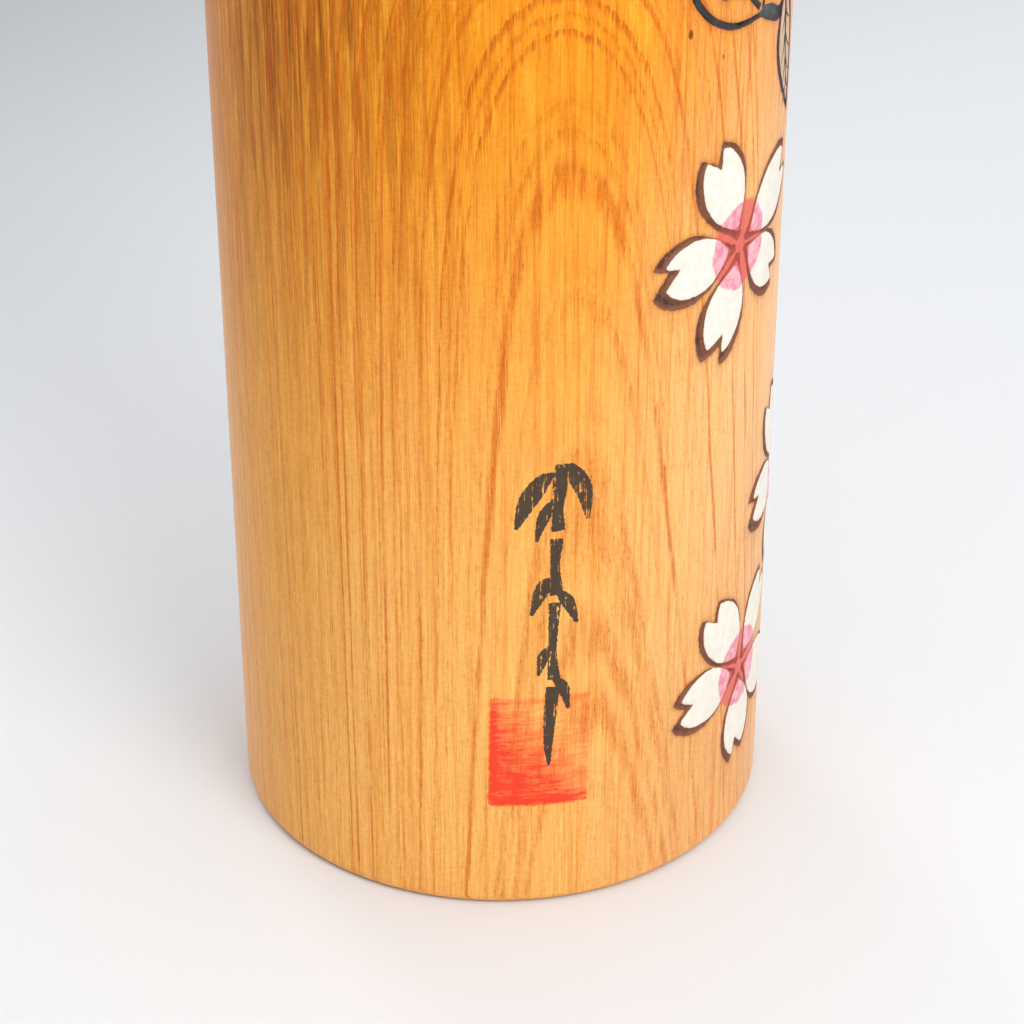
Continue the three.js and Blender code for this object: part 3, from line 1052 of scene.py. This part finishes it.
def body_marks(sheet):
    """What the wood's shader reads at each point: how far blossoms, specks and stamp are, and scorching."""
    u, v = sheet.uv.T
    specks = [np.hypot((u - at(azimuth, height)[0]) / wide, (v - height) / tall)
              for azimuth, height, wide, tall in SPECKS]
    burnt = distances(sheet.uv, sheet.uv[np.unique(sheet.region("burnt", "black"))])
    ink = distances(sheet.uv, sheet.uv[np.unique(sheet.region("ink"))])
    scorched = np.isin(np.arange(len(u)), sheet.region("wood")) & (burnt < ink)
    across, up = (sheet.uv - np.array(at(STAMP_AZIMUTH, STAMP_HEIGHT))).T
    cosine, sine = math.cos(math.radians(STAMP_LEAN)), math.sin(math.radians(STAMP_LEAN))
    return {
        "bloom": distances(sheet.uv, [at(azimuth, height) for azimuth, height, *_ in BLOSSOMS]),
        "scorch": np.where(scorched, np.exp(-sheet.depth_inside("wood") / SCORCH_REACH), 0.0),
        "speck": np.min(specks, 0),
        "stamp_x": across * cosine + up * sine,
        "stamp_y": up * cosine - across * sine,
    }


def build_body():
    skin = body_skin()
    spots = [(at(azimuth, height), PINK_RADIUS + 1.5) for azimuth, height, *_ in BLOSSOMS]
    spots.append((at(STAMP_AZIMUTH, STAMP_HEIGHT), STAMP_REACH))
    spots += [(at(azimuth, height), tall + 0.8) for azimuth, height, _, tall in SPECKS]
    seam = math.radians(SEAM_AZIMUTH) * BODY_RADIUS
    sheet = Sheet(skin, seam, skin.v[0], skin.v[-1], BODY_CELL, BODY_SPLIT, body_shapes(), spots=spots)
    marks = body_marks(sheet)
    groove = sheet.depth_inside("burnt", "black")
    painted = sheet.depth_inside("white")
    washed = sheet.depth_inside("leaf", "collar")
    inked = sheet.depth_inside("ink")
    carved = GROOVE_DEPTH * rising(groove, GROOVE_REACH)
    covered = np.minimum(groove / LAYER_REACH, 1) * LAYER_SINK
    wood_lift = -carved - covered - UNDER_PAINT * np.minimum((painted + washed + inked) / WASH_REACH, 1)

    points = skin.place(sheet.uv, wood_lift)
    faces = sheet.triangles.tolist()
    for end, outline, upward in ((skin.v[0], base_outline(), False), (skin.v[-1], neck_outline(), True)):
        ring = sheet.ring(end)
        points, faces = carry_on(points, faces, ring, sheet.uv[ring, 0] / BODY_RADIUS, outline, upward)
    extra = len(points) - len(sheet.uv)
    attributes = {key: np.concatenate([values, np.full(extra, 0.0 if key == "scorch" else FAR)])
                  for key, values in marks.items()}
    body = make_piece("body_wood", points, faces, body_material(), "body", attributes,
                      TURNED_CREASE)
    set_outer_normals(body, skin.normals(sheet.uv))
    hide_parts("body")

    def layer(name, kinds, top, sink, material, slot, depth):
        points, faces, source = shell(skin, sheet.uv, sheet.region(*kinds), top, wood_lift - sink)
        own = {key: values[source] for key, values in {"depth": depth, **marks}.items()}
        make_piece(name, points, faces, material, "body", own)

    line_top = LINE_RISE - carved
    layer("burnt_outlines", ["burnt"], line_top, LINE_SINK, burnt_material(), "burnt_line", groove)
    layer("branch_outlines", ["black"], line_top, LINE_SINK, black_material(), "burnt_line", groove)
    paint_top = PAINT_EDGE + PAINT_RISE * rising(painted, PAINT_REACH)
    layer("petal_paint", ["white"], paint_top, PAINT_SINK, petal_material(), "white_paint", painted)
    wash_top = WASH_EDGE + WASH_RISE * rising(washed, WASH_REACH)
    leaf_wash = wash_material("leaf_wash", rgb(180, 158, 134), rgb(196, 174, 150), rgb(112, 92, 74), 0.72)
    layer("leaf_wash", ["leaf"], wash_top, PAINT_SINK, leaf_wash, "green_paint", washed)
    collar = wash_material("collar_wash", rgb(190, 52, 40), rgb(206, 70, 50), rgb(140, 32, 26), 0.86)
    layer("collar_wash", ["collar"], wash_top, PAINT_SINK, collar, "stamp_ink", washed)
    ink_top = np.full(len(sheet.uv), LINE_RISE)
    layer("brushed_mark", ["ink"], ink_top, PAINT_SINK, ink_material(), "brush_ink", inked)


def set_outer_normals(made, normals):
    """Gives the turned side its exact normals, and leaves the rest of the mesh as shaded."""
    mesh = made.data
    corner = np.zeros(len(mesh.loops), np.int32)
    mesh.loops.foreach_get("vertex_index", corner)
    own = np.zeros(len(mesh.loops) * 3, np.float32)
    mesh.corner_normals.foreach_get("vector", own)
    own = own.reshape(-1, 3)
    outer = corner < len(normals)
    own[outer] = normals[corner[outer]]
    mesh.normals_split_custom_set(own.tolist())


# ---------------------------------------------------------------- the head
# Brush strokes of the face as (x, z, width) points in a front view: an eye's from its centre with x away
# from the nose, and those of the nose and lips from between the eyes.
EYE_STROKES = [
    [(-5.8, -1.2, 0.25), (-3.6, 0.6, 0.9), (0, 1.7, 1.25), (3.8, 0.9, 1.1), (6.4, -1.5, 0.3)],
    [(-1.6, 1.2, 0.8), (-1.4, -0.4, 2), (-1.2, -1.5, 1.6), (-1.1, -2.2, 0.5)],
    [(-3.4, -2.6, 0.15), (0, -3.1, 0.35), (3.6, -2.5, 0.15)],
    [(-6, 7.4, 0.25), (-1.5, 9.3, 0.75), (3.6, 9, 0.6), (7, 7.2, 0.2)],
]
NOSE_STROKE = [(-1.7, -8.6, 0.2), (-2.1, -9.6, 0.55), (-0.9, -10.6, 0.6), (0.6, -10.3, 0.25)]
LIP_STROKES = [
    [(-3.5, -16.6, 0.25), (-1.7, -16, 1.2), (0, -16.3, 0.9), (1.7, -16, 1.2), (3.5, -16.6, 0.25)],
    [(-2.3, -17.7, 0.2), (0, -18.2, 1.5), (2.3, -17.7, 0.2)],
]


def head_skin():
    """The skull's outline, from the edge of its seat to the crown."""
    lower = HEAD_WIDEST / math.sqrt(1 - (SEAT_RADIUS / HAIR_RADIUS) ** 2)
    upper = CROWN - SEAT - HEAD_WIDEST - HAIR_THICKNESS
    centre = (0, SEAT + HEAD_WIDEST)
    radius = HAIR_RADIUS - HAIR_THICKNESS
    start = math.degrees(math.asin(-HEAD_WIDEST / lower))
    outline = [*arc(centre, (radius, lower), start, 0, 100), *arc(centre, (radius, upper), 0, 90, 120),
               (0, CROWN - HAIR_THICKNESS)]
    return Skin(outline, 0.0, radius)


def build_decals(name, skin, strokes, material):
    """Painted strokes on the face, as thin closed layers of paint that follow the skull."""
    points, faces, depth = [], [], []
    total = 0
    for stroke in strokes:
        outline = Shape("paint", 0, skin.from_front(brush_stroke(stroke, FACE_STEP))).outline
        columns, rows = (np.arange(low, high, FACE_CELL) for low, high in zip(outline.min(0), outline.max(0)))
        grid = np.stack(np.meshgrid(columns, rows), -1).reshape(-1, 2)
        grid = grid[distances(grid, outline) > FACE_GAP]
        corners = [Vector(p) for p in np.vstack([grid, outline])]
        found = delaunay_2d_cdt(corners, [], [list(range(len(grid), len(corners)))], 0, WELD, True)
        uv = np.array([tuple(p) for p in found[0]])
        triangles = np.array([face for face, held in zip(found[2], found[5]) if held])
        inner = distances(uv, outline)
        top = FACE_EDGE + FACE_RISE * rising(inner, FACE_REACH)
        new_points, new_faces, source = shell(skin, uv, triangles, top, np.full(len(uv), -FACE_SINK))
        points.append(new_points)
        faces += [[i + total for i in face] for face in new_faces]
        depth.append(inner[source])
        total += len(new_points)
    make_piece(name, np.vstack(points), faces, material, "head", {"depth": np.concatenate(depth)})


def build_face(skin):
    eye_x, eye_z = EYE
    ink_strokes = [[(side * (eye_x + x), eye_z + z, width) for x, z, width in stroke]
                   for side in (-1, 1) for stroke in EYE_STROKES]
    middle = [[(x, eye_z + z, width) for x, z, width in stroke] for stroke in [NOSE_STROKE, *LIP_STROKES]]
    ink = paint_material("face_ink", rgb(22, 18, 17), rgb(44, 36, 33), 0.34)
    lips = paint_material("lip_paint", rgb(178, 38, 34), rgb(206, 62, 50), 0.32)
    build_decals("face_ink", skin, [*ink_strokes, middle[0]], ink)
    build_decals("lip_paint", skin, middle[1:], lips)


def window_outline(skin):
    """The edge of the hair round the face, as (u, v) points from one lower end to the other."""
    side, top, corner = WINDOW_HALF_WIDTH, WINDOW_TOP, WINDOW_CORNER
    low = HAIR_BOTTOM + 0.01
    right = [(side + 2.2 * (1 - math.cos(t * 0.6)), low + (top - corner - low) * (1 - t))
             for t in np.linspace(1, 0, 80)]
    turn = [(side - corner + corner * math.cos(a), top - corner + corner * math.sin(a))
            for a in np.linspace(0, math.pi / 2, 30)]
    fringe = [(x, top + 0.9 * math.cos(x / (side - corner) * math.pi / 2))
              for x in np.linspace(side - corner, 0, 50)]
    half = [*right, *turn[1:], *fringe[1:]]
    return skin.from_front([*half, *[(-x, z) for x, z in half[::-1][1:]]])


def build_head():
    skin = head_skin()
    columns = HEAD_COLUMNS
    angles = np.arange(columns) / columns * TURN
    ring = np.arange(columns)
    upper = list(zip(skin.radius[2::2], skin.height[2::2]))
    bore_edge = BORE_RADIUS + SOFT_EDGE
    under = [*line((skin.radius[0] - 1, SEAT), (bore_edge, SEAT), 1.5),
             *arc((bore_edge, SEAT + SOFT_EDGE), (SOFT_EDGE, SOFT_EDGE), -90, -180, 4),
             *line((BORE_RADIUS, SEAT + SOFT_EDGE), (BORE_RADIUS, BORE_END), 3.0),
             (BORE_RADIUS, BORE_END),
             (0, BORE_END)]
    points, faces = carry_on(turned(angles, skin.radius[0], SEAT), [], ring, angles, upper, True)
    points, faces = carry_on(points, faces, ring, angles, under, False)
    head = make_piece("head_wood", points, faces, head_material(), "head", crease=TURNED_CREASE)
    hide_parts("head")
    build_hair(skin)
    build_face(skin)


def build_hair(skin):
    """The bobbed hair: a raised, round-edged cap with combed lines, open round the face."""
    low = np.interp(HAIR_BOTTOM, skin.height, skin.v)
    high = skin.v[-1] - 1.5
    window = Shape("window", 1, respace(window_outline(skin), 0.4, closed=False))
    sheet = Sheet(skin, -math.pi * skin.reference, low, high, HAIR_CELL, HAIR_SPLIT, [window], band=1.2)
    # One more point closes the cap over the last row, at the crown.
    ring = sheet.ring(high)
    pole = len(sheet.uv)
    fan = [(first, second, pole) for first, second in zip(ring, np.roll(ring, -1))]
    uv = np.vstack([sheet.uv, [(0.0, skin.v[-1])]])
    triangles = np.vstack([sheet.region("wood"), fan])
    depth = np.minimum(distances(uv, window.outline), uv[:, 1] - low)
    depth[pole] = FAR
    near = np.minimum(depth / HAIR_EDGE, 1)
    rounded = np.sqrt(np.maximum(1 - (1 - near) ** 2, 0))
    angle = uv[:, 0] / skin.reference
    fade = np.clip((skin.read(uv[:, 1])[0] - 6) / 14, 0, 1) * near
    combed = np.abs(np.sin(angle * COMB_LINES + 0.35 * np.sin(angle * 9) + 0.03 * uv[:, 1]))
    top = HAIR_THICKNESS * rounded - COMB_DEPTH * fade * (1 - combed) ** 2
    points, faces, source = shell(skin, uv, triangles, top, np.full(len(uv), -HAIR_SINK))
    make_piece("hair", points, faces, hair_material(), "head", {"depth": depth[source]},
               HAIR_CREASE)


# ---------------------------------------------------------------- stage
def aim(made, place, target):
    made.location = Vector(place) * MM
    made.rotation_mode = "QUATERNION"
    made.rotation_quaternion = (Vector(target) - Vector(place)).to_track_quat("-Z", "Y")


def build_camera():
    heading = math.radians(CAMERA_AZIMUTH + CAMERA_YAW)
    pitch = math.radians(CAMERA_PITCH)
    place = Vector(turned([math.radians(CAMERA_AZIMUTH)], CAMERA_DISTANCE, CAMERA_HEIGHT)[0])
    backward = Vector(turned([heading], math.cos(pitch), math.sin(pitch))[0])
    camera = bpy.data.objects.new("camera", bpy.data.cameras.new("camera"))
    camera.data.lens = CAMERA_LENS
    camera.data.sensor_width = 36
    camera.data.clip_start = 0.01
    camera.data.clip_end = 50
    bpy.context.scene.collection.objects.link(camera)
    aim(camera, place, place - backward)
    bpy.context.scene.camera = camera


def build_light(name, place, target, size, watts, colour, spread=180):
    light = bpy.data.lights.new(name, "AREA")
    light.shape = "DISK"
    light.size = size * MM
    light.energy = watts
    light.color = colour
    light.spread = math.radians(spread)
    made = bpy.data.objects.new(name, light)
    bpy.context.scene.collection.objects.link(made)
    aim(made, place, target)


def build_floor():
    shader = Shader("floor")
    # The floor's colour is darker towards the far side, away from the key light: painted shade of the light's
    # falloff.
    away = shader.vector("DOT_PRODUCT", shader.place, PAINTED_SHADE_SIDE) + shader.noise(300, 300) * 60.0
    colour = shader.mix(shader.smooth(away, 130.0, 470.0), (0.73, 0.735, 0.74, 1), (0.42, 0.432, 0.44, 1))
    bend = STAGE_RADIUS - STAGE_BEND
    outline = [(bend - STAGE_BEND / 2, 0), (bend, 0),
               *arc((bend, STAGE_BEND), (STAGE_BEND, STAGE_BEND), -90, 0, 24)[1:],
               (STAGE_RADIUS, STAGE_BEND), (STAGE_RADIUS, STAGE_HEIGHT)]
    columns = STAGE_COLUMNS
    angles = np.arange(columns) / columns * TURN
    rings = [turned(angles, radius, height) for radius, height in outline]
    faces = [list(range(columns))]
    for low in range(0, columns * (len(rings) - 1), columns):
        high = low + columns
        faces += [(low + (i + 1) % columns, low + i, high + i, high + (i + 1) % columns)
                  for i in range(columns)]
    floor = smooth_object("floor", np.vstack(rings), faces, shader.finish(colour, 0.6, specular=0.2))
    floor.location.z = -FLOOR_GAP * MM


def build_studio():
    build_floor()
    world = bpy.data.worlds.new("studio")
    world.use_nodes = True
    back = world.node_tree.nodes["Background"]
    back.inputs["Color"].default_value = (0.94, 0.965, 1.0, 1)
    back.inputs["Strength"].default_value = 1.22
    bpy.context.scene.world = world
    bpy.context.scene.view_settings.view_transform = "Standard"
    warm = (1.0, 0.985, 0.96)
    build_light("key", (-250, 615, 640), (0, 0, 60), 480, 4.0, warm)
    build_light("front", (260, -820, 520), (0, 0, 150), 420, 0.12, warm, 34)


build_camera()
build_body()
build_head()
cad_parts["neck_peg"].data.materials.clear()
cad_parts["neck_peg"].data.materials.append(peg_material())
build_studio()
